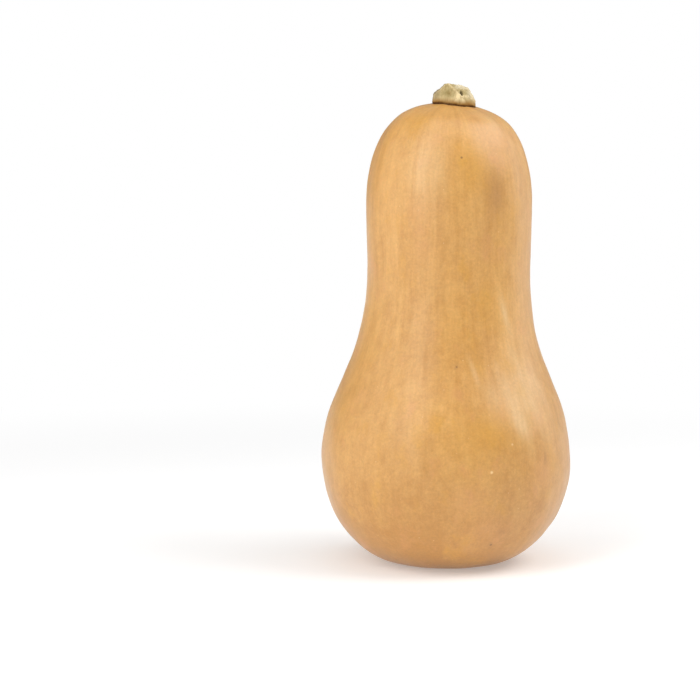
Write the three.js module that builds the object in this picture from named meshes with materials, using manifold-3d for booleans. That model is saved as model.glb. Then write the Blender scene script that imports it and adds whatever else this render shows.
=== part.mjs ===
// A whole butternut squash standing on its blossom end.
// Millimetres, +Z up. The origin is the middle of the base, +X is its right side and -Y its front.

import * as THREE from "three";
import { mergeVertices } from "three/addons/utils/BufferGeometryUtils.js";
import Module from "manifold-3d";

// --- Driving dimensions -------------------------------------------------------------------------

// The fruit's outline: its radius at five places, and the rise from each place to the next.
const baseRadius = 22; // outer edge of the flat ring that the fruit stands on
const bulbRise = 53;
const bulbRadius = 65; // the widest place, round the seed end
const waistRise = 97;
const waistRadius = 42.2; // the narrowest place, where the neck begins
const neckRise = 35;
const neckRadius = 43; // the neck's widest place
const shoulderRise = 43.3;
const shoulderRadius = 29.9; // where the crown slopes at 45 degrees
const crownRise = 10.5; // on up to the top of the fruit, under the stem

// How full each stretch of the outline is: the share of it that the curve's pull covers.
const baseFullness = 0.6;
const underBulbFullness = 0.47;
const overBulbFullness = 0.39;
const underWaistFullness = 0.515;
const neckFullness = 0.5;
const overNeckFullness = 0.455;
const underShoulderFullness = 0.61;
const overShoulderFullness = 0.765;
const crownFullness = 0.23;

// The blossom end, underneath.
const dimpleRadius = 11; // inner edge of the flat ring
const dimpleDepth = 3.4;
const scarRadius = 4; // the corky scar that the flower left
const scarRise = 0.8; // how far the scar stands out of the dimple's floor
const dimplePull = 3; // how full the dimple's wall is

// What keeps the fruit from being perfectly round and straight.
const neckSway = new THREE.Vector2(1.3, 1.5); // the neck's axis beside the bulb's, right and back
const crownLean = new THREE.Vector2(0.043, 0.06); // slope of the crown, down to the right and front
const leanDepth = 13; // how far below its top the crown begins to lean
const ribCount = 10;
const ribPhase = THREE.MathUtils.degToRad(12); // angle of one rib, right of the front
const ribHeight = 0.25; // half the depth between a rib and the groove beside it
const broadHeight = 0.3; // half the depth of the broad, slow swells

// The stem, a stub that was cut with a slanting cut.
const stemOffset = new THREE.Vector2(2.5, 0); // the middle of its foot beside the neck's axis
const stemDrop = 2.3; // the middle of its foot below the top of the crown
const stemSink = 6; // how far its uncut underside would reach below that
const seatGap = 0.3; // clearance between the stem's foot and the fruit

// The flats that bound the stem, each by the direction that it faces and its distance from the
// middle of the foot. The direction is [degrees right of the front, degrees above level].
const stemFlats = [
  { facing: [-28, 16], distance: 9.7 }, // broad flat at the front left
  { facing: [48, 51], distance: 10.2 }, // the slanting cut
  { facing: [2, 8], distance: 11.2 }, // front
  { facing: [38, 12], distance: 11.2 }, // front right, below the cut
  { facing: [-90, 46], distance: 12 }, // left, sloping
  { facing: [-90, 2], distance: 11.1 }, // left, at the foot
  { facing: [90, 25], distance: 11 }, // right
  { facing: [90, 0], distance: 10.7 }, // right, at the foot
  { facing: [138, 16], distance: 11.4 }, // back right
  { facing: [-140, 18], distance: 10.4 }, // back left
  { facing: [-156, 66], distance: 9.7 }, // back, sloping up to the edge of the cut
  { facing: [0, -90], distance: stemSink },
];
const edgeSharpness = 20; // higher is sharper

// Fineness of the mesh.
const segmentsRound = 60;
const stepsPerCurve = 9;
const stemSegments = [44, 24];

// Heights above the base that follow from the rises.
const bulbHeight = bulbRise;
const waistHeight = bulbHeight + waistRise;
const neckHeight = waistHeight + neckRise;
const shoulderHeight = neckHeight + shoulderRise;
const crownHeight = shoulderHeight + crownRise;

// --- The fruit ----------------------------------------------------------------------------------

/** The outline from the middle of the blossom scar round to the top of the crown. */
function fruitOutline() {
  const scarHeight = dimpleDepth - scarRise;
  const underShoulder = underShoulderFullness * (neckRadius - shoulderRadius);
  const overShoulder = overShoulderFullness * crownRise;
  const outline = new THREE.Path();
  outline.moveTo(0, scarHeight);
  outline.lineTo(scarRadius - scarRise, scarHeight);
  outline.lineTo(scarRadius, dimpleDepth);
  outline.bezierCurveTo(
    scarRadius + dimplePull, dimpleDepth,
    dimpleRadius - dimplePull, 0,
    dimpleRadius, 0,
  );
  outline.lineTo(baseRadius, 0);
  outline.bezierCurveTo(
    baseRadius + baseFullness * (bulbRadius - baseRadius), 0,
    bulbRadius, bulbHeight - underBulbFullness * bulbRise,
    bulbRadius, bulbHeight,
  );
  outline.bezierCurveTo(
    bulbRadius, bulbHeight + overBulbFullness * waistRise,
    waistRadius, waistHeight - underWaistFullness * waistRise,
    waistRadius, waistHeight,
  );
  outline.bezierCurveTo(
    waistRadius, waistHeight + neckFullness * neckRise,
    neckRadius, neckHeight - neckFullness * neckRise,
    neckRadius, neckHeight,
  );
  outline.bezierCurveTo(
    neckRadius, neckHeight + overNeckFullness * shoulderRise,
    shoulderRadius + underShoulder, shoulderHeight - underShoulder,
    shoulderRadius, shoulderHeight,
  );
  outline.bezierCurveTo(
    shoulderRadius - overShoulder, shoulderHeight + overShoulder,
    crownFullness * shoulderRadius, crownHeight,
    0, crownHeight,
  );
  return outline.getPoints(stepsPerCurve);
}

/** How far the surface stands out at an angle right of the front and at a height. */
function relief(angle, height) {
  const up = (Math.PI * height) / crownHeight; // from 0 at the base to half a turn at the crown
  const ribStrength = 0.6 + 0.4 * Math.cos(2 * up); // the ribs fade at mid height
  const ribs = ribStrength * Math.cos(ribCount * (angle - ribPhase));
  const swells =
    Math.sin(2 * angle + up) * Math.sin(3 * up) + 0.6 * Math.sin(3 * angle + 1) * Math.sin(up);
  return ribHeight * ribs + broadHeight * swells;
}

/** Ribs, swells, the swaying neck and the leaning crown, applied to a turned fruit. */
function growUnevenly(geometry) {
  const place = new THREE.Vector3();
  const position = geometry.getAttribute("position");
  for (let i = 0; i < position.count; i++) {
    place.fromBufferAttribute(position, i);
    const radius = Math.hypot(place.x, place.y);
    const angle = Math.atan2(place.x, -place.y);
    const fade = THREE.MathUtils.smoothstep(radius, 0, baseRadius);
    const swollen = radius + fade * relief(angle, place.z);
    const sway = THREE.MathUtils.smoothstep(place.z, bulbHeight, waistHeight);
    const crown = THREE.MathUtils.smoothstep(place.z, crownHeight - leanDepth, crownHeight);
    const x = swollen * Math.sin(angle);
    const y = -swollen * Math.cos(angle);
    position.setXYZ(
      i,
      x + neckSway.x * sway,
      y + neckSway.y * sway,
      place.z - crown * (crownLean.x * x - crownLean.y * y),
    );
  }
}

/** The fruit's closed surface, grown outwards by a clearance. */
function fruitGeometry(clearance = 0) {
  const outline = fruitOutline().map(
    (p) => new THREE.Vector2(p.x > 0 ? p.x + clearance : 0, p.y + clearance),
  );
  const geometry = new THREE.LatheGeometry(outline, segmentsRound);
  geometry.rotateX(Math.PI / 2);
  growUnevenly(geometry);
  return geometry;
}

// --- The stem -----------------------------------------------------------------------------------

const facing = ([right, above]) => {
  const level = Math.cos(THREE.MathUtils.degToRad(above));
  const turn = THREE.MathUtils.degToRad(right);
  return new THREE.Vector3(
    level * Math.sin(turn),
    -level * Math.cos(turn),
    Math.sin(THREE.MathUtils.degToRad(above)),
  );
};

/** A sphere drawn in to the flats, with rounded edges where two flats meet. */
function stemGeometry() {
  const flats = stemFlats.map((f) => ({ normal: facing(f.facing), distance: f.distance }));
  const geometry = new THREE.SphereGeometry(1, ...stemSegments);
  geometry.rotateX(Math.PI / 2);
  const place = new THREE.Vector3();
  const position = geometry.getAttribute("position");
  for (let i = 0; i < position.count; i++) {
    place.fromBufferAttribute(position, i).normalize();
    const crowding = flats.reduce(
      (sum, f) => sum + (Math.max(0, place.dot(f.normal)) / f.distance) ** edgeSharpness,
      0,
    );
    place.multiplyScalar(crowding ** (-1 / edgeSharpness));
    position.setXYZ(i, place.x, place.y, place.z);
  }
  geometry.translate(
    neckSway.x + stemOffset.x,
    neckSway.y + stemOffset.y,
    crownHeight - stemDrop,
  );
  return geometry;
}

// --- Cutting the stem's foot to the crown ---------------------------------------------------------

const wasm = await Module();
wasm.setup();

function solid(geometry) {
  const bare = new THREE.BufferGeometry()
    .setAttribute("position", geometry.getAttribute("position"))
    .setIndex(geometry.index);
  const merged = mergeVertices(bare, 1e-3);
  return new wasm.Manifold(
    new wasm.Mesh({
      numProp: 3,
      vertProperties: merged.getAttribute("position").array,
      triVerts: new Uint32Array(merged.index.array),
    }),
  );
}

function geometryOf(manifold) {
  const mesh = manifold.getMesh();
  const geometry = new THREE.BufferGeometry()
    .setAttribute("position", new THREE.BufferAttribute(mesh.vertProperties, 3))
    .setIndex(new THREE.BufferAttribute(mesh.triVerts, 1));
  geometry.computeVertexNormals();
  return geometry;
}

// --- The squash -----------------------------------------------------------------------------------

const skin = new THREE.MeshStandardMaterial({ color: 0xdca566, roughness: 0.45, metalness: 0 });
const cork = new THREE.MeshStandardMaterial({ color: 0xb9a273, roughness: 0.85, metalness: 0 });

const fruit = new THREE.Mesh(fruitGeometry(), skin);
fruit.name = "fruit";

const stem = new THREE.Mesh(
  geometryOf(solid(stemGeometry()).subtract(solid(fruitGeometry(seatGap)))),
  cork,
);
stem.name = "stem";

const squash = new THREE.Group();
squash.add(fruit, stem);

export default squash;
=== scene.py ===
"""A whole butternut squash: its waxy rind and its dry, cut stem, standing on a pale floor."""

import math

import bpy
import numpy as np
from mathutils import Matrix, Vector


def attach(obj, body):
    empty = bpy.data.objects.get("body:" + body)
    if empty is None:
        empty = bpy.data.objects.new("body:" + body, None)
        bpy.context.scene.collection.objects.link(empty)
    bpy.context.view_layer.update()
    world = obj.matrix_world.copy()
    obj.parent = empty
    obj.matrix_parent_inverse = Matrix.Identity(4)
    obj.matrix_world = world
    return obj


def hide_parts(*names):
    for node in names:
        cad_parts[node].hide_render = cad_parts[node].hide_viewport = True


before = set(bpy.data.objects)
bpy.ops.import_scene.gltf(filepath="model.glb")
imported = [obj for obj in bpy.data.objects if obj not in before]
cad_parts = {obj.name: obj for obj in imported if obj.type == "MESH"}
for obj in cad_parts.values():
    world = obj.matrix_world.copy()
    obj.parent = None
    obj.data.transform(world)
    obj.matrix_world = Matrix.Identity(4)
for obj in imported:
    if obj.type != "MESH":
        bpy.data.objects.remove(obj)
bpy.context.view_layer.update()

MM = 0.001
TURN = 2 * math.pi

# --- Dimensions, in millimetres, as in the part's source -----------------------------------------

BASE_RADIUS = 22
BULB_HEIGHT = 53
BULB_RADIUS = 65
WAIST_HEIGHT = BULB_HEIGHT + 97
WAIST_RADIUS = 42.2
NECK_HEIGHT = WAIST_HEIGHT + 35
NECK_RADIUS = 43
SHOULDER_HEIGHT = NECK_HEIGHT + 43.3
SHOULDER_RADIUS = 29.9
CROWN_HEIGHT = SHOULDER_HEIGHT + 10.5

# How full each stretch of the outline is: the share of it that the curve's pull covers.
BASE_FULLNESS = 0.6
UNDER_BULB_FULLNESS = 0.47
OVER_BULB_FULLNESS = 0.39
UNDER_WAIST_FULLNESS = 0.515
NECK_FULLNESS = 0.5
OVER_NECK_FULLNESS = 0.455
UNDER_SHOULDER_FULLNESS = 0.61
OVER_SHOULDER_FULLNESS = 0.765
CROWN_FULLNESS = 0.23

DIMPLE_RADIUS = 11
DIMPLE_DEPTH = 3.4
DIMPLE_PULL = 3
SCAR_RADIUS = 4
SCAR_RISE = 0.8
NECK_SWAY = (1.3, 1.5)
CROWN_LEAN = (0.043, 0.06)
LEAN_DEPTH = 13
RIB_COUNT = 10
RIB_PHASE = math.radians(12)
RIB_HEIGHT = 0.25
BROAD_HEIGHT = 0.3

STEM_OFFSET = 2.5
STEM_DROP = 2.3
STEM_FOOT = np.array([NECK_SWAY[0] + STEM_OFFSET, NECK_SWAY[1], CROWN_HEIGHT - STEM_DROP])
# Each flat of the stem: degrees right of the front, degrees above level, distance from the foot.
STEM_FLATS = np.array([
    [-28, 16, 9.7],
    [48, 51, 10.2],
    [2, 8, 11.2],
    [38, 12, 11.2],
    [-90, 46, 12.0],
    [-90, 2, 11.1],
    [90, 25, 11.0],
    [90, 0, 10.7],
    [138, 16, 11.4],
    [-140, 18, 10.4],
    [-156, 66, 9.7],
    [0, -90, 6.0],
])
LEFT_FLATS = [4, 5]  # the rows of those that face left
STEM_SHARPNESS = 26  # higher is sharper; the part's source has 20

# --- Relief that only the skins have, in millimetres ----------------------------------------------

FACET_HEIGHT = 0.1
LUMP_HEIGHT = 0.12
PUCKER_HEIGHT = 0.08  # gathers on the crown, round the stem
PINCH_HEIGHT = 0.15  # folds in the dimple, round the scar
LIP_HEIGHT = 0.15  # the rind's rise against the stem

STEM_LUMP_HEIGHT = 0.16
STEM_GRAIN_HEIGHT = 0.08
STEM_PORE_HEIGHT = 0.04
STEM_EDGE_HEIGHT = 0.05
SWELLING_HEIGHT = 0.55  # lobes that swell the front of the foot
FURROW_DEPTH = 0.12
UNDERCUT_DEPTH = 0.3
HOLLOW_DEPTH = 0.4
PITH_DEPTH = 1.4

# The pith hole on the stem's front, from the middle of the foot: right, up, half width, half height
# and how far it leans to the left for each millimetre up.
PITH_HOLE = (3.5, 6.8, 0.8, 1.35, 0.15)
# Shallow hollows on the stem's front, from the middle of the foot: right, up, width, strength.
STEM_HOLLOWS = [
    (-3.5, 6.4, 1.2, 1.0),
    (-1.6, 8.3, 0.9, 0.7),
]

FAR = 60  # stands for the gap to the stem or to the scar where neither is near

# Fineness of the grids.
CURVE_STEPS = 60
FRUIT_ROWS = 290
FRUIT_COLUMNS = 320
STEM_ROWS = 160
STEM_COLUMNS = 260

# --- Markings on the rind -------------------------------------------------------------------------

# Soft patches of another tint: degrees right of the front, height, half width, half height, degrees
# that its foot leans to the right, strength.
PATCHES = {
    # pale: the first two rows are pale streaks of the rind; the rest are painted highlights on the
    # bulb's right shoulder, the upper neck's left and the crown's right.
    "pale": [
        [38.5, 131, 2.0, 9, 13, 0.9],
        [12.5, 104, 1.2, 7, 17, 0.6],
        [41, 109, 3.5, 12, 12, 0.5],
        [31, 93, 3.5, 11, 14, 0.6],
        [38, 92, 3.5, 12, 12, 0.6],
        [35, 78, 5, 9, 18, 0.9],
        [45, 86, 4, 13, 12, 0.7],
        [52, 97, 6, 12, 10, 0.55],
        [22, 91, 5, 9, 12, 0.35],
        [-22, 205, 8, 18, 0, 0.35],
        [-9, 203, 5, 18, 0, 0.3],
        [42, 229, 6, 5, 0, 0.5],
    ],
    # golden: warm patches; the three on the neck at 18, 36 and 51 degrees right are painted shade on
    # its right side.
    "golden": [
        [18, 75, 11, 9, 0, 1.0],
        [16, 105, 5, 6, 0, 0.7],
        [24, 139, 4, 8, 0, 0.8],
        [18, 206, 9, 12, 0, 0.95],
        [36, 170, 8, 22, 0, 0.4],
        [51, 175, 8, 28, 0, 0.5],
        [8, 42, 14, 20, 0, 0.25],
        [-31, 228, 8, 6, 0, 0.6],
    ],
    "rosy": [
        [39, 219, 9, 9, 0, 0.6],
        [-23, 184, 8, 9, 0, 0.6],
        [-21, 165, 5, 6, 0, 0.6],
        [46, 53, 8, 9, 0, 0.9],
        [8, 42, 11, 8, 0, 0.6],
        [17, 25, 11, 7, 0, 0.7],
    ],
    # brown: the two large patches on the neck, at 31 and 19 degrees right, are painted shade on its
    # right side; the small ones are brown spots.
    "brown": [
        [31, 193, 6, 12, 0, 0.8],
        [19, 190, 8, 16, 0, 0.25],
        [47.7, 60, 1.2, 3.5, 0, 0.8],
        [26.5, 24, 2.4, 1.4, 0, 0.6],
        [22.6, 17, 2.0, 1.3, 0, 0.6],
        [2.5, 106.5, 1.3, 1.3, 0, 0.6],
    ],
}

# Small round marks: degrees right of the front, height, radius.
DARK_MARKS = [
    [6.1, 209.8, 0.9],
    [2.6, 106.3, 0.8],
    [22.8, 16.9, 0.9],
]
PALE_MARKS = [
    [17.6, 55.4, 1.15],
    [28.2, 68.4, 0.9],
]
DOT_CORE = 0.3  # the share of a dot's radius where it is at its full strength


# --- Small helpers for shapes ---------------------------------------------------------------------


def ramp(value, low, high):
    """0 below low, 1 above high and 3t^2 - 2t^3 between them; low may be the larger."""
    t = np.clip((value - low) / (high - low), 0, 1)
    return t * t * (3 - 2 * t)


def hump(value, middle, width):
    """A bell of height 1: exp(-((value - middle) / width)^2)."""
    return np.exp(-(((value - middle) / width) ** 2))


def rolling(points, wavelength, seed, waves=28):
    """Lumps in space of about rms 1: the sum of sin(k . p + phase) over waves in random directions."""
    rng = np.random.default_rng(seed)
    directions = rng.normal(size=(waves, 3))
    directions /= np.linalg.norm(directions, axis=1, keepdims=True)
    lengths = wavelength * rng.uniform(0.7, 1.4, (waves, 1))
    phases = rng.uniform(0, TURN, waves)
    return np.sin(points @ (TURN * directions / lengths).T + phases).sum(-1) / math.sqrt(waves / 2)


def bezier(points, steps):
    """The cubic curve (1-t)^3 a + 3(1-t)^2 t b + 3(1-t)t^2 c + t^3 d."""
    t = np.linspace(0, 1, steps)[:, None]
    a, b, c, d = np.array(points, float)
    return (1 - t) ** 3 * a + 3 * (1 - t) ** 2 * t * b + 3 * (1 - t) * t**2 * c + t**3 * d


def outward(rings):
    """Unit normals of a grid of rings: the cross product of the steps round it and along it."""
    along = np.gradient(rings, axis=0)
    around = np.roll(rings, -1, axis=1) - np.roll(rings, 1, axis=1)
    normals = np.cross(around, along)
    return normals / np.maximum(np.linalg.norm(normals, axis=2, keepdims=True), 1e-9)


def poled(grid):
    """The grid's rows of points in one list, with the first and the last row drawn into one point."""
    inner = grid[1:-1].reshape(-1, grid.shape[2])
    return np.concatenate([grid[0].mean(0)[None], inner, grid[-1].mean(0)[None]])


def closed_rings(name, rings, attributes):
    """A closed skin over rings[i, j] that join up round j; the first and last ring are one point.
    An attribute is given for each point, or once for each ring."""
    rows, columns = rings.shape[:2]
    index = 1 + np.arange((rows - 2) * columns).reshape(rows - 2, columns)
    after = np.roll(index, -1, axis=1)
    quads = np.stack([index[:-1], after[:-1], after[1:], index[1:]], -1).reshape(-1, 4)
    last = (rows - 2) * columns + 1
    bottom = np.stack([after[0], index[0], np.zeros_like(index[0])], -1)
    top = np.stack([index[-1], after[-1], np.full_like(index[0], last)], -1)
    faces = bottom.tolist() + quads.tolist() + top.tolist()
    mesh = bpy.data.meshes.new(name)
    mesh.from_pydata((poled(rings) * MM).tolist(), [], faces)
    mesh.polygons.foreach_set("use_smooth", np.ones(len(mesh.polygons), bool))
    for label, grid in attributes.items():
        kind, field = ("FLOAT", "value") if grid.ndim == 2 else ("FLOAT_VECTOR", "vector")
        full = np.broadcast_to(grid, (rows, columns, *grid.shape[2:]))
        values = poled(full.reshape(rows, columns, -1))
        mesh.attributes.new(label, kind, "POINT").data.foreach_set(field, values.ravel())
    piece = bpy.data.objects.new(name, mesh)
    bpy.context.collection.objects.link(piece)
    return piece


# --- The fruit's shape ----------------------------------------------------------------------------


def fruit_outline():
    """Radius, height and length along the outline, from the blossom scar to the top of the crown, at
    even steps of its length: cubic curves from place to place, as in the part's source."""
    floor_of_dimple = DIMPLE_DEPTH - SCAR_RISE
    scar_edge = SCAR_RADIUS - SCAR_RISE
    under_shoulder = UNDER_SHOULDER_FULLNESS * (NECK_RADIUS - SHOULDER_RADIUS)
    over_shoulder = OVER_SHOULDER_FULLNESS * (CROWN_HEIGHT - SHOULDER_HEIGHT)
    waist_rise = WAIST_HEIGHT - BULB_HEIGHT
    neck_rise = NECK_HEIGHT - WAIST_HEIGHT
    shoulder_rise = SHOULDER_HEIGHT - NECK_HEIGHT
    base_pull = BASE_FULLNESS * (BULB_RADIUS - BASE_RADIUS)
    stretches = [
        [(0, floor_of_dimple), (scar_edge / 3, floor_of_dimple),
         (scar_edge / 1.5, floor_of_dimple), (scar_edge, floor_of_dimple)],
        [(scar_edge, floor_of_dimple), (SCAR_RADIUS, floor_of_dimple),
         (scar_edge, DIMPLE_DEPTH), (SCAR_RADIUS, DIMPLE_DEPTH)],
        [(SCAR_RADIUS, DIMPLE_DEPTH), (SCAR_RADIUS + DIMPLE_PULL, DIMPLE_DEPTH),
         (DIMPLE_RADIUS - DIMPLE_PULL, 0), (DIMPLE_RADIUS, 0)],
        [(DIMPLE_RADIUS, 0), (DIMPLE_RADIUS + DIMPLE_PULL, 0),
         (BASE_RADIUS - DIMPLE_PULL, 0), (BASE_RADIUS, 0)],
        [(BASE_RADIUS, 0), (BASE_RADIUS + base_pull, 0),
         (BULB_RADIUS, BULB_HEIGHT * (1 - UNDER_BULB_FULLNESS)), (BULB_RADIUS, BULB_HEIGHT)],
        [(BULB_RADIUS, BULB_HEIGHT), (BULB_RADIUS, BULB_HEIGHT + OVER_BULB_FULLNESS * waist_rise),
         (WAIST_RADIUS, WAIST_HEIGHT - UNDER_WAIST_FULLNESS * waist_rise),
         (WAIST_RADIUS, WAIST_HEIGHT)],
        [(WAIST_RADIUS, WAIST_HEIGHT), (WAIST_RADIUS, WAIST_HEIGHT + NECK_FULLNESS * neck_rise),
         (NECK_RADIUS, NECK_HEIGHT - NECK_FULLNESS * neck_rise), (NECK_RADIUS, NECK_HEIGHT)],
        [(NECK_RADIUS, NECK_HEIGHT), (NECK_RADIUS, NECK_HEIGHT + OVER_NECK_FULLNESS * shoulder_rise),
         (SHOULDER_RADIUS + under_shoulder, SHOULDER_HEIGHT - under_shoulder),
         (SHOULDER_RADIUS, SHOULDER_HEIGHT)],
        [(SHOULDER_RADIUS, SHOULDER_HEIGHT),
         (SHOULDER_RADIUS - over_shoulder, SHOULDER_HEIGHT + over_shoulder),
         (CROWN_FULLNESS * SHOULDER_RADIUS, CROWN_HEIGHT), (0, CROWN_HEIGHT)],
    ]
    curves = [bezier(stretch, CURVE_STEPS)[:-1] for stretch in stretches]
    fine = np.concatenate(curves + [[[0, CROWN_HEIGHT]]])
    length = np.concatenate([[0], np.cumsum(np.hypot(*np.diff(fine, axis=0).T))])
    even = np.linspace(0, length[-1], FRUIT_ROWS)
    return np.interp(even, length, fine[:, 0]), np.interp(even, length, fine[:, 1]), even


OUTLINE = fruit_outline()


def patches(turn, radius, height, spots):
    """The sum of strength * exp(-(across / half width)^2 - (along / half height)^2) over the spots."""
    total = 0.0
    for right, level, half_width, half_height, lean, strength in spots:
        side = radius * ((turn - math.radians(right) + math.pi) % TURN - math.pi)
        rise = height - level
        cosine, sine = math.cos(math.radians(lean)), math.sin(math.radians(lean))
        across = (side * cosine + rise * sine) / half_width
        along = (rise * cosine - side * sine) / half_height
        total = total + strength * np.exp(-(across**2) - along**2)
    return total


def on_rind(right, level):
    """The point of the rind's wall at degrees right of the front and a height: the outline's radius
    at that height, turned, plus the neck's sway."""
    radius, height, _ = OUTLINE
    wall = height > DIMPLE_DEPTH
    reach = np.interp(level, height[wall], radius[wall])
    sway = ramp(level, BULB_HEIGHT, WAIST_HEIGHT)
    turn = math.radians(right)
    x = reach * math.sin(turn) + NECK_SWAY[0] * sway
    y = -reach * math.cos(turn) + NECK_SWAY[1] * sway
    return np.array([x, y, level])


def fruit_rings():
    """The outline turned about Z: (r sin turn, -r cos turn, height), where r is the outline's radius
    plus ribs and swells. The neck sways, and the crown drops by its lean times its place. Then
    facets, lumps, the crown's puckers and the dimple's folds are added along the normals."""
    radius, height, length = (line[:, None] for line in OUTLINE)
    turn = np.linspace(0, TURN, FRUIT_COLUMNS, endpoint=False)[None]
    up = math.pi * height / CROWN_HEIGHT
    rib = np.cos(RIB_COUNT * (turn - RIB_PHASE))
    ribs = RIB_HEIGHT * (0.6 + 0.4 * np.cos(2 * up)) * rib
    swells = np.sin(2 * turn + up) * np.sin(3 * up) + 0.6 * np.sin(3 * turn + 1) * np.sin(up)
    swollen = radius + ramp(radius, 0, BASE_RADIUS) * (ribs + BROAD_HEIGHT * swells)
    sway = ramp(height, BULB_HEIGHT, WAIST_HEIGHT)
    leaning = ramp(height, CROWN_HEIGHT - LEAN_DEPTH, CROWN_HEIGHT)
    x = swollen * np.sin(turn)
    y = -swollen * np.cos(turn)
    z = height - leaning * (CROWN_LEAN[0] * x - CROWN_LEAN[1] * y)
    rings = np.stack([x + NECK_SWAY[0] * sway, y + NECK_SWAY[1] * sway, z], -1)

    facets = np.cos(7 * turn + 0.9 + 0.5 * up) + 0.7 * np.cos(11 * turn - 0.7 * up + 2)
    lumps = rolling(rings, wavelength=34, seed=11) + 0.4 * rolling(rings, wavelength=13, seed=12)
    crown = ramp(height, NECK_HEIGHT + 25, CROWN_HEIGHT)
    wall = ramp(height, 1, 14)
    gathers = np.cos(RIB_COUNT * (turn - RIB_PHASE) + 0.6 * np.sin(3 * turn))
    puckers = crown * hump(radius, 17, 8) * gathers
    in_dimple = (height < DIMPLE_DEPTH + 1) * ramp(height, 0, 1.5) * hump(radius, 8, 3.5)
    pinch = in_dimple * np.cos(13 * turn + np.sin(4 * turn))
    out = (
        wall * (FACET_HEIGHT * facets * (1 - crown) + LUMP_HEIGHT * lumps)
        + PUCKER_HEIGHT * puckers + PINCH_HEIGHT * pinch
    )
    rings = rings + outward(rings) * out[..., None]

    toward = (rings - STEM_FOOT) * [1, 1, 0]
    distance = np.linalg.norm(toward, axis=2)
    reach, _ = stem_reach(toward / np.maximum(distance, 1e-6)[..., None])
    stem_gap = np.where(crown > 0.5, distance - reach, FAR)
    rings[..., 2] += LIP_HEIGHT * hump(stem_gap, -1, 2.2)
    grain = [NECK_RADIUS * np.sin(turn), -NECK_RADIUS * np.cos(turn), length]
    attributes = {
        "grain": np.stack(np.broadcast_arrays(*grain), -1) * MM,
        "neck": ramp(height, BULB_HEIGHT, WAIST_HEIGHT - 20),
        # Painted shade: darker towards the bulb's foot.
        "low": ramp(height, 66, 8),
        # Painted shade: darker over the last 15 mm above the floor, where the bulb meets it.
        "painted_contact_shade": ramp(height, 15, 1),
        "stem_gap": stem_gap,
        "scar_gap": np.where(height < 20, radius, FAR),
    }
    for tint, spots in PATCHES.items():
        attributes[tint] = patches(turn, radius, height, spots)
    return rings, attributes


def crown_level(x, y):
    """The crown's height over a point: its outline's height at that radius, less what it leans."""
    radius, height, _ = OUTLINE
    top = height > NECK_HEIGHT
    side, back = x - NECK_SWAY[0], y - NECK_SWAY[1]
    level = np.interp(np.hypot(side, back), radius[top][::-1], height[top][::-1])
    return level - CROWN_LEAN[0] * side + CROWN_LEAN[1] * back


# --- The stem's shape -----------------------------------------------------------------------------


def stem_reach(directions):
    """How far the stem reaches: (sum of max(0, d . n / distance)^s)^(-1/s) over its flats, where s is
    the sharpness, and each flat's max(0, d . n / distance)."""
    right, above, distances = STEM_FLATS.T
    right, above = np.radians(right), np.radians(above)
    level = np.cos(above)
    normals = np.stack([level * np.sin(right), -level * np.cos(right), np.sin(above)], -1)
    share = np.maximum(directions @ normals.T / distances, 0)
    return (share**STEM_SHARPNESS).sum(-1) ** (-1 / STEM_SHARPNESS), share


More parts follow.
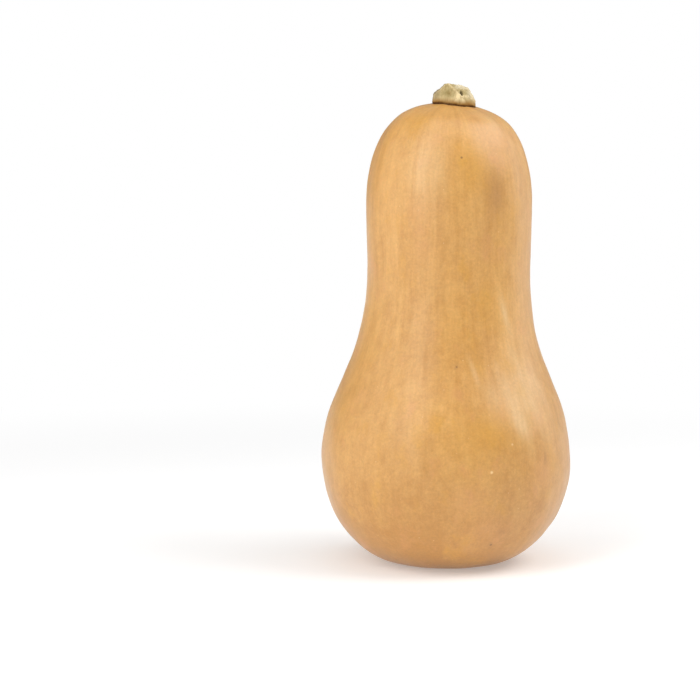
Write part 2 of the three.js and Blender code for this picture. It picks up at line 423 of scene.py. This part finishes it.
def stem_rings():
    """A ball drawn in to the flats: each direction times the stem's reach that way. Lumps, grain,
    pores, edges and the swollen foot are added along its normals, and furrows, the undercut, hollows
    and the pith hole are taken away. The attributes are where each tint lies."""
    tilt = np.linspace(-math.pi / 2, math.pi / 2, STEM_ROWS)[:, None]
    turn = np.linspace(0, TURN, STEM_COLUMNS, endpoint=False)[None]
    axes = [np.cos(tilt) * np.sin(turn), -np.cos(tilt) * np.cos(turn), np.sin(tilt)]
    directions = np.stack(np.broadcast_arrays(*axes), -1)
    reach, share = stem_reach(directions)
    rings = directions * reach[..., None]
    ordered = np.sort(share, axis=-1)
    edge = ramp(ordered[..., -2] / ordered[..., -1], 0.88, 1)
    left = share[..., LEFT_FLATS].max(-1) / ordered[..., -1]
    x, y, z = np.moveaxis(rings, -1, 0)
    above_foot = z + STEM_FOOT[2] - crown_level(x + STEM_FOOT[0], y + STEM_FOOT[1])
    front = ramp(-y, 0, 5)
    hole_right, hole_up, half_width, half_height, lean = PITH_HOLE
    hole = np.sqrt(
        ((x - hole_right + lean * (z - hole_up)) / half_width) ** 2
        + ((z - hole_up) / half_height) ** 2
    )
    pith = front * (1 - ramp(hole, 0.45, 1.25))
    hollows = front * sum(
        strength * hump(np.hypot(x - right, z - up), 0, width)
        for right, up, width, strength in STEM_HOLLOWS
    )
    lumps = rolling(rings, wavelength=5.5, seed=3)
    grain = rolling(rings * [1, 1, 0.45], wavelength=1.7, seed=4)
    pores = rolling(rings, wavelength=0.9, seed=5)
    ridges = rolling(rings * [1, 1, 0.15], wavelength=3.4, seed=6)
    furrows = np.maximum(0, 1 - 3 * np.abs(ridges))
    lobes = 0.7 + 0.3 * np.cos(7 * turn + 1.2)
    swelling = front * lobes * ramp(above_foot, 4.8, 2.6)
    undercut = ramp(above_foot, 0.9, -0.3)
    height = (
        STEM_LUMP_HEIGHT * lumps + STEM_GRAIN_HEIGHT * grain + STEM_PORE_HEIGHT * pores
        - FURROW_DEPTH * furrows + STEM_EDGE_HEIGHT * edge + SWELLING_HEIGHT * swelling
        - UNDERCUT_DEPTH * undercut - PITH_DEPTH * pith - HOLLOW_DEPTH * hollows
    )
    rings = rings + outward(rings) * (height * ramp(above_foot, -4, -1))[..., None]
    # Where the tints lie: x is to the right and z is up from the middle of the foot.
    attributes = {
        "edge": edge,
        "pith": pith,
        "furrow": furrows,
        "hollow": hollows,
        "swelling": swelling,
        "above_foot": above_foot,
        "foot": ramp(above_foot, 3.2 + 1.4 * ramp(x, 3, 8), 0.6),
        # Painted highlight: a cream glint below and left of the pith hole.
        "cream_glint": front * hump(x, 2.1, 1.9) * hump(z, 4.8, 1.5),
        # Painted shade: grey-brown on the far left and on the flats that face left.
        "painted_left_shade": np.maximum(0.6 * ramp(x, -6, -9.5), ramp(left, 0.93, 1)),
        # Paler on the right and at the top of the stem.
        "paler_right_and_top": np.maximum(ramp(x, 5, 9) * ramp(z, 2.5, 6), ramp(x, -1, 2) * ramp(z, 8, 10)),
    }
    return rings + STEM_FOOT, attributes


# --- Materials ------------------------------------------------------------------------------------


class Value:
    """A number, colour or vector that a node gives; arithmetic on numbers adds Math nodes."""

    def __init__(self, graph, socket):
        self.graph = graph
        self.socket = socket

    def math(self, operation, *terms):
        return self.graph.node("ShaderNodeMath", {"operation": operation}, dict(enumerate(terms)))

    def __add__(self, other):
        return self.math("ADD", self, other)

    def __sub__(self, other):
        return self.math("SUBTRACT", self, other)

    def __rsub__(self, other):
        return self.math("SUBTRACT", other, self)

    def __mul__(self, other):
        return self.math("MULTIPLY", self, other)

    __radd__ = __add__
    __rmul__ = __mul__

    def between(self, low, high):
        """0 at low and 1 at high, eased and clamped; low may be the larger."""
        return self.graph.node(
            "ShaderNodeMapRange",
            {"interpolation_type": "SMOOTHSTEP"},
            {"Value": self, "From Min": low, "From Max": high},
        )


class Graph:
    """A node tree whose nodes are added one call at a time."""

    def __init__(self, tree):
        self.tree = tree

    def node(self, kind, settings=None, sockets=None, out=0):
        """A new node of a kind: its settings first, then its sockets' values or links."""
        node = self.tree.nodes.new(kind)
        for label, value in (settings or {}).items():
            setattr(node, label, value)
        for label, value in (sockets or {}).items():
            self.feed(node.inputs[label], value)
        return Value(self, node.outputs[out])

    def feed(self, socket, value):
        if isinstance(value, Value):
            self.tree.links.new(value.socket, socket)
        else:
            socket.default_value = value

    def surface(self, output, shader):
        """Shows a shader instead of what the tree's output showed."""
        self.feed(self.tree.nodes[output].inputs["Surface"], shader)


class Finish(Graph):
    """A material, with its constants on its shader's own sockets."""

    def __init__(self, name, **constants):
        self.material = bpy.data.materials.new(name)
        self.material.use_nodes = True
        super().__init__(self.material.node_tree)
        self.shader = self.tree.nodes["Principled BSDF"]
        for label, value in constants.items():
            self.shader.inputs[label.replace("_", " ")].default_value = value
        self.place = self.node("ShaderNodeTexCoord", out="Object")

    def attribute(self, name, out="Fac"):
        return self.node("ShaderNodeAttribute", {"attribute_name": name}, out=out)

    def stretched(self, vector, factors):
        return self.node(
            "ShaderNodeVectorMath", {"operation": "MULTIPLY"}, {0: vector, 1: factors}
        )

    def noise(self, vector, size, detail=2.0, rough=0.5):
        """Soft noise with lumps of about a size in millimetres, from about 0.2 to 0.8."""
        return self.node(
            "ShaderNodeTexNoise",
            {},
            {"Vector": vector, "Scale": 1 / (size * MM), "Detail": detail, "Roughness": rough},
        )

    def dots(self, vector, spacing, radius, share, seed):
        """Round dots, one in some of the cells of a spacing: 1 in a dot's middle and 0 outside it."""
        moved = self.node(
            "ShaderNodeVectorMath", {"operation": "ADD"}, {0: vector, 1: (seed, seed, seed)}
        )
        cells = {"Vector": moved, "Scale": 1 / (spacing * MM)}
        distance = self.node("ShaderNodeTexVoronoi", {}, cells, out="Distance")
        lot = self.node("ShaderNodeTexVoronoi", {}, cells, out="Color")
        chance = self.node("ShaderNodeSeparateColor", {}, {0: lot})
        drawn = chance.between(1 - share, 1.02 - share)
        return distance.between(radius / spacing, DOT_CORE * radius / spacing) * drawn

    def marks(self, rows):
        """Round marks of the rind: 1 in a mark's middle and 0 outside its radius."""
        total = 0.0
        for right, level, radius in rows:
            middle = tuple((on_rind(right, level) * MM).tolist())
            distance = self.node(
                "ShaderNodeVectorMath", {"operation": "DISTANCE"}, {0: self.place, 1: middle},
                out="Value",
            )
            total = total + distance.between(radius * MM, DOT_CORE * radius * MM)
        return total

    def blend(self, first, second, factor):
        """The first colour where the factor is 0 and the second where it is 1."""
        return self.node(
            "ShaderNodeMix", {"data_type": "RGBA"}, {0: factor, 6: first, 7: second}, out=2
        )

    def layered(self, color, layers):
        """A colour with layers of other colours over it, each of them where its factor is 1."""
        for layer, factor in layers:
            color = self.blend(color, layer, factor)
        return color

    def finish(self, piece, color, roughness, height, coat=None):
        """Feeds the shader, with the height in millimetres as bump, and puts it on the piece."""
        bump = self.node("ShaderNodeBump", {}, {"Height": height, "Distance": MM, "Strength": 1.0})
        self.feed(self.shader.inputs["Base Color"], color)
        self.feed(self.shader.inputs["Roughness"], roughness)
        self.feed(self.shader.inputs["Normal"], bump)
        if coat is not None:
            self.feed(self.shader.inputs["Coat Weight"], coat)
        piece.data.materials.append(self.material)


def paint(red, green, blue):
    """A colour as seen on a screen, 0 to 255, made linear."""
    shares = np.array([red, green, blue]) / 255
    linear = np.where(shares <= 0.04045, shares / 12.92, ((shares + 0.055) / 1.055) ** 2.4)
    return (*linear.tolist(), 1.0)


TAN_LIGHT = paint(219, 165, 87)
TAN_DARK = paint(193, 137, 62)
RIND_GOLD_AND_SHADE = paint(209, 152, 60)
RIND_ROSE = paint(209, 149, 83)
RIND_PALE_AND_HIGHLIGHT = paint(226, 190, 138)
RIND_BROWN_AND_SHADE = paint(168, 118, 62)
PALE_DOT = paint(238, 200, 142)
DARK_DOT = paint(130, 84, 36)
SCAR_HALO = paint(168, 128, 74)
SCAR_CORK = paint(122, 92, 58)
STEM_SEAT_AND_SHADE = paint(104, 66, 26)

KHAKI_LIGHT = paint(183, 163, 114)
KHAKI_DARK = paint(166, 148, 99)
CORK_FIBRE = paint(208, 184, 136)
CORK_EDGE_HIGHLIGHT = paint(232, 209, 162)
CORK_SWELLING_HIGHLIGHT = paint(224, 198, 148)
CORK_CREAM_GLINT = paint(248, 224, 172)
CORK_PALER_RIGHT_AND_TOP = paint(230, 217, 186)
CORK_LEFT_SHADE = paint(118, 104, 80)
CORK_FURROW_SHADE = paint(148, 120, 74)
CORK_HOLLOW_SHADE = paint(150, 128, 72)
CORK_FOOT = paint(156, 114, 52)
CORK_SEAM_SHADE = paint(76, 44, 4)
CORK_PORE = paint(120, 96, 54)
CORK_PITH_SHADE = paint(66, 48, 14)

PAPER_GREY = (0.8, 0.8, 0.8, 1)
WHITE = (1, 1, 1, 1)


def finish_rind(piece):
    """Tan skin in soft streaks and mottles, with tinted patches, specks and a broken waxy sheen; among
    the patches are painted highlights and painted shade, and painted shade darkens the foot and the
    rind round the stem.
    """
    rind = Finish(
        "rind", Coat_Roughness=0.46, Coat_IOR=1.5, IOR=1.45, Subsurface_Weight=0.12,
        Subsurface_Scale=0.004, Subsurface_Radius=(1.0, 0.45, 0.15),
    )
    grain = rind.attribute("grain", "Vector")
    neck = rind.attribute("neck")
    clouds = rind.noise(rind.place, size=40, detail=1.0)
    mottle = rind.noise(rind.place, size=7, detail=6.0, rough=0.78)
    taller = rind.stretched(rind.place, (1.0, 1.0, 0.7))
    tint = rind.noise(taller, size=15, detail=4.0, rough=0.6)
    bands = rind.noise(rind.stretched(grain, (1.0, 1.0, 0.16)), size=12, detail=3.0)
    striae = rind.noise(rind.stretched(grain, (1.0, 1.0, 0.1)), size=2.6, detail=5.0, rough=0.7)
    peel = rind.noise(rind.place, size=1.1)
    specks = rind.noise(rind.place, size=1.3, detail=3.0, rough=0.7)
    pale_spots = rind.dots(rind.place, spacing=5.5, radius=0.42, share=0.45, seed=3)
    dark_spots = rind.dots(rind.place, spacing=9, radius=0.38, share=0.22, seed=7)
    pale_dots = 0.5 * pale_spots + rind.marks(PALE_MARKS)
    dark_dots = 0.6 * dark_spots + 0.8 * rind.marks(DARK_MARKS)
    near_stem = rind.attribute("stem_gap").between(0.9, 0)
    near_scar = rind.attribute("scar_gap").between(9, 3.5)
    scar = rind.attribute("scar_gap").between(4.6, 3.8)
    broken = 0.4 + 1.2 * mottle

    # The streaks are stronger on the neck, and the mottles on the bulb, which is painted darker
    # towards its foot as painted shade.
    streaks = (0.6 + 0.4 * neck) * (1.35 * striae + 1.3 * bands - 1.325)
    mottles = (1.7 - 0.2 * neck) * (mottle - 0.5)
    lightness = 0.5 + streaks + mottles + 0.7 * (clouds - 0.5) - 0.55 * rind.attribute("low")
    tan = rind.blend(TAN_DARK, TAN_LIGHT, lightness)
    # Painted shade in part: the golden patches on the neck's right side.
    golden = 0.7 * tint.between(0.54, 0.72) + 0.7 * (broken * rind.attribute("golden"))
    rosy = 0.6 * tint.between(0.44, 0.28) + 0.7 * (broken * rind.attribute("rosy"))
    skin = rind.layered(tan, [
        (RIND_GOLD_AND_SHADE, golden),
        (RIND_ROSE, rosy),
        # Painted highlight: most of the pale patches, broken up by the striae.
        (RIND_PALE_AND_HIGHLIGHT, (0.1 + 1.1 * striae) * rind.attribute("pale")),
        # Painted shade in part: the two large brown patches on the neck's right side.
        (RIND_BROWN_AND_SHADE, 0.6 * (broken * rind.attribute("brown"))),
        (PALE_DOT, pale_dots),
        (DARK_DOT, dark_dots),
    ])
    # Painted shade: the rind darkens over the last 15 mm above the floor.
    shade = 0.8 + 0.4 * specks - 0.16 * rind.attribute("painted_contact_shade")
    speckled_and_shaded = rind.node("ShaderNodeHueSaturation", {}, {"Color": skin, "Value": shade})
    color = rind.layered(speckled_and_shaded, [
        (SCAR_HALO, near_scar * 0.6),
        (SCAR_CORK, scar),
        # A brown ring round the stem's foot, partly stain and partly painted shade where the rind
        # meets the stem.
        (STEM_SEAT_AND_SHADE, near_stem * 0.8),
    ])
    roughness = 0.36 + 0.16 * mottle + 0.08 * striae + 0.3 * scar
    coat = 0.25 + 0.7 * mottle + 0.5 * striae - 0.7 * scar
    height = (
        0.02 * peel + 0.05 * striae + 0.05 * mottle + 0.1 * pale_dots - 0.13 * dark_dots
        + 0.2 * (scar * mottle)
    )
    rind.finish(piece, color, roughness, height, coat)


def finish_stem(piece):
    """Khaki cork with pale edges, a paler swelling at the foot and a cream glint in front, all painted
    highlights, brown at the foot, grey painted shade on the left and paler on the right and at the
    top, with furrows, pores and a dark pith hole; the furrows, hollows, pith hole and the seam at the
    foot are darkened as painted shade."""
    cork = Finish("stem_cork", IOR=1.4)
    # Painted shade: near black in the undercut where the stem meets the rind.
    seam_shade = cork.attribute("above_foot").between(1.3, 0.2)
    upright = cork.stretched(cork.place, (1.0, 1.0, 0.35))
    blotch = cork.noise(cork.place, size=5, detail=3.0, rough=0.6)
    fibres = cork.noise(upright, size=1.0, detail=4.0, rough=0.7)
    grit = cork.noise(cork.place, size=0.45, detail=3.0, rough=0.6)
    pores = cork.dots(cork.place, spacing=1.3, radius=0.28, share=0.5, seed=5)
    ragged = 0.4 + 1.2 * blotch

    khaki = cork.blend(KHAKI_LIGHT, KHAKI_DARK, blotch.between(0.4, 0.62))
    color = cork.layered(khaki, [
        (CORK_FIBRE, fibres.between(0.5, 0.7) * 0.6),
        # Painted highlight: paler along the ridges between the flats.
        (CORK_EDGE_HIGHLIGHT, cork.attribute("edge") * 0.65),
        # Painted highlight: paler on the swelling at the foot's front.
        (CORK_SWELLING_HIGHLIGHT, cork.attribute("swelling") * 0.45),
        # Painted highlight: the cream glint in front.
        (CORK_CREAM_GLINT, cork.attribute("cream_glint") * 0.9),
        # Paler on the right and at the top.
        (CORK_PALER_RIGHT_AND_TOP, cork.attribute("paler_right_and_top") * (0.7 * ragged)),
        # Painted shade: grey-brown on the stem's left side.
        (CORK_LEFT_SHADE, cork.attribute("painted_left_shade") * (0.8 * ragged)),
        # Painted shade: darker in the furrows and in the hollows on the front.
        (CORK_FURROW_SHADE, cork.attribute("furrow") * 0.5),
        (CORK_HOLLOW_SHADE, cork.attribute("hollow") * 0.6),
        (CORK_FOOT, cork.attribute("foot") * ragged),
        # Painted shade at the seam with the rind.
        (CORK_SEAM_SHADE, seam_shade * ragged),
        (CORK_PORE, pores * 0.5),
        # Painted shade: near black in the pith hole.
        (CORK_PITH_SHADE, cork.attribute("pith")),
    ])
    height = 0.12 * fibres + 0.1 * grit - 0.1 * pores + 0.1 * blotch
    cork.finish(piece, color, 0.82 + 0.1 * fibres, height)


# --- The pieces -----------------------------------------------------------------------------------

rind = closed_rings("rind", *fruit_rings())
finish_rind(rind)
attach(rind, "root")
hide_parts("fruit")

stem = closed_rings("cut_stem", *stem_rings())
finish_stem(stem)
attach(stem, "root")
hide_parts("stem")

# --- Floor, lights and camera, in metres ----------------------------------------------------------

FLOOR_REACH = 9  # from its middle to each side
HAZE_START, HAZE_END = 0.22, 0.75  # how far out the floor turns plain white
PAPER_GLOW = 0.28
STUDIO_LIGHT = 0.29  # what the white world lights with

# Each lamp: degrees right of the front, degrees above level, distance, width and height, watts.
LAMPS = {
    "key": (-40, 30, 1.15, (0.45, 1.4), 6.9),
    "high_right": (74, 47, 1.1, (0.6, 0.7), 5.4),
    "right": (112, 24, 1.1, (0.5, 1.0), 2.6),
    "overhead": (0, 80, 1.2, (0.8, 0.8), 3.3),
    "left": (-84, 20, 1.2, (0.6, 1.2), 3.4),
}
LAMP_TARGET = Vector((0, 0, 0.13))

CAMERA_TARGET = Vector((-0.04996, 0, 0.11046))
CAMERA_DISTANCE = 1.0139
CAMERA_ELEVATION = math.radians(5)
LENS_LENGTH = 100  # millimetres, as is the sensor
SENSOR_WIDTH = 36
FARTHEST_SEEN = 20


def direction(right_of_front, above_level):
    """The unit vector at two angles: (cos above sin right, -cos above cos right, sin above)."""
    level = math.cos(above_level)
    return Vector(
        (level * math.sin(right_of_front), -level * math.cos(right_of_front), math.sin(above_level))
    )


def aim(thing, place, target):
    """Puts a lamp or the camera at a place, looking at a target, into the scene."""
    thing.location = place
    thing.rotation_euler = (target - place).to_track_quat("-Z", "Y").to_euler()
    bpy.context.collection.objects.link(thing)


def softbox(name, right_of_front, above_level, distance, size, power):
    """A rectangular lamp aimed at the middle of the squash."""
    lamp = bpy.data.lights.new(name, "AREA")
    lamp.shape = "RECTANGLE"
    lamp.size, lamp.size_y = size
    lamp.energy = power
    way = direction(math.radians(right_of_front), math.radians(above_level))
    aim(bpy.data.objects.new(name, lamp), LAMP_TARGET + distance * way, LAMP_TARGET)


floor_mesh = bpy.data.meshes.new("floor")
corners = [(x * FLOOR_REACH, y * FLOOR_REACH, 0) for x, y in [(-1, -1), (1, -1), (1, 1), (-1, 1)]]
floor_mesh.from_pydata(corners, [], [(0, 1, 2, 3)])
floor = bpy.data.objects.new("floor", floor_mesh)
bpy.context.collection.objects.link(floor)
paper = Finish(
    "white_paper", Base_Color=PAPER_GREY, Roughness=0.9, Specular_IOR_Level=0.2,
    Emission_Color=WHITE, Emission_Strength=PAPER_GLOW,
)
away = paper.node("ShaderNodeVectorMath", {"operation": "LENGTH"}, {0: paper.place}, out="Value")
plain_white = paper.node("ShaderNodeEmission", {}, {"Color": WHITE, "Strength": 1.0})
lit_paper = Value(paper, paper.shader.outputs[0])
haze = away.between(HAZE_START, HAZE_END)
hazy = paper.node("ShaderNodeMixShader", {}, {0: haze, 1: lit_paper, 2: plain_white})
paper.surface("Material Output", hazy)
floor_mesh.materials.append(paper.material)

for name, numbers in LAMPS.items():
    softbox(name, *numbers)

scene = bpy.context.scene
scene.world = bpy.data.worlds.new("studio")
scene.world.use_nodes = True
studio = Graph(scene.world.node_tree)
seen = studio.node("ShaderNodeLightPath", out="Is Camera Ray")
lighting = studio.node("ShaderNodeBackground", {}, {"Color": WHITE, "Strength": STUDIO_LIGHT})
backdrop = studio.node("ShaderNodeBackground", {}, {"Color": WHITE, "Strength": 1.0})
sky = studio.node("ShaderNodeMixShader", {}, {0: seen, 1: lighting, 2: backdrop})
studio.surface("World Output", sky)
scene.view_settings.view_transform = "Standard"

lens = bpy.data.cameras.new("camera")
lens.lens = LENS_LENGTH
lens.sensor_width = SENSOR_WIDTH
lens.clip_end = FARTHEST_SEEN
camera = bpy.data.objects.new("camera", lens)
aim(camera, CAMERA_TARGET + CAMERA_DISTANCE * direction(0, CAMERA_ELEVATION), CAMERA_TARGET)
scene.camera = camera
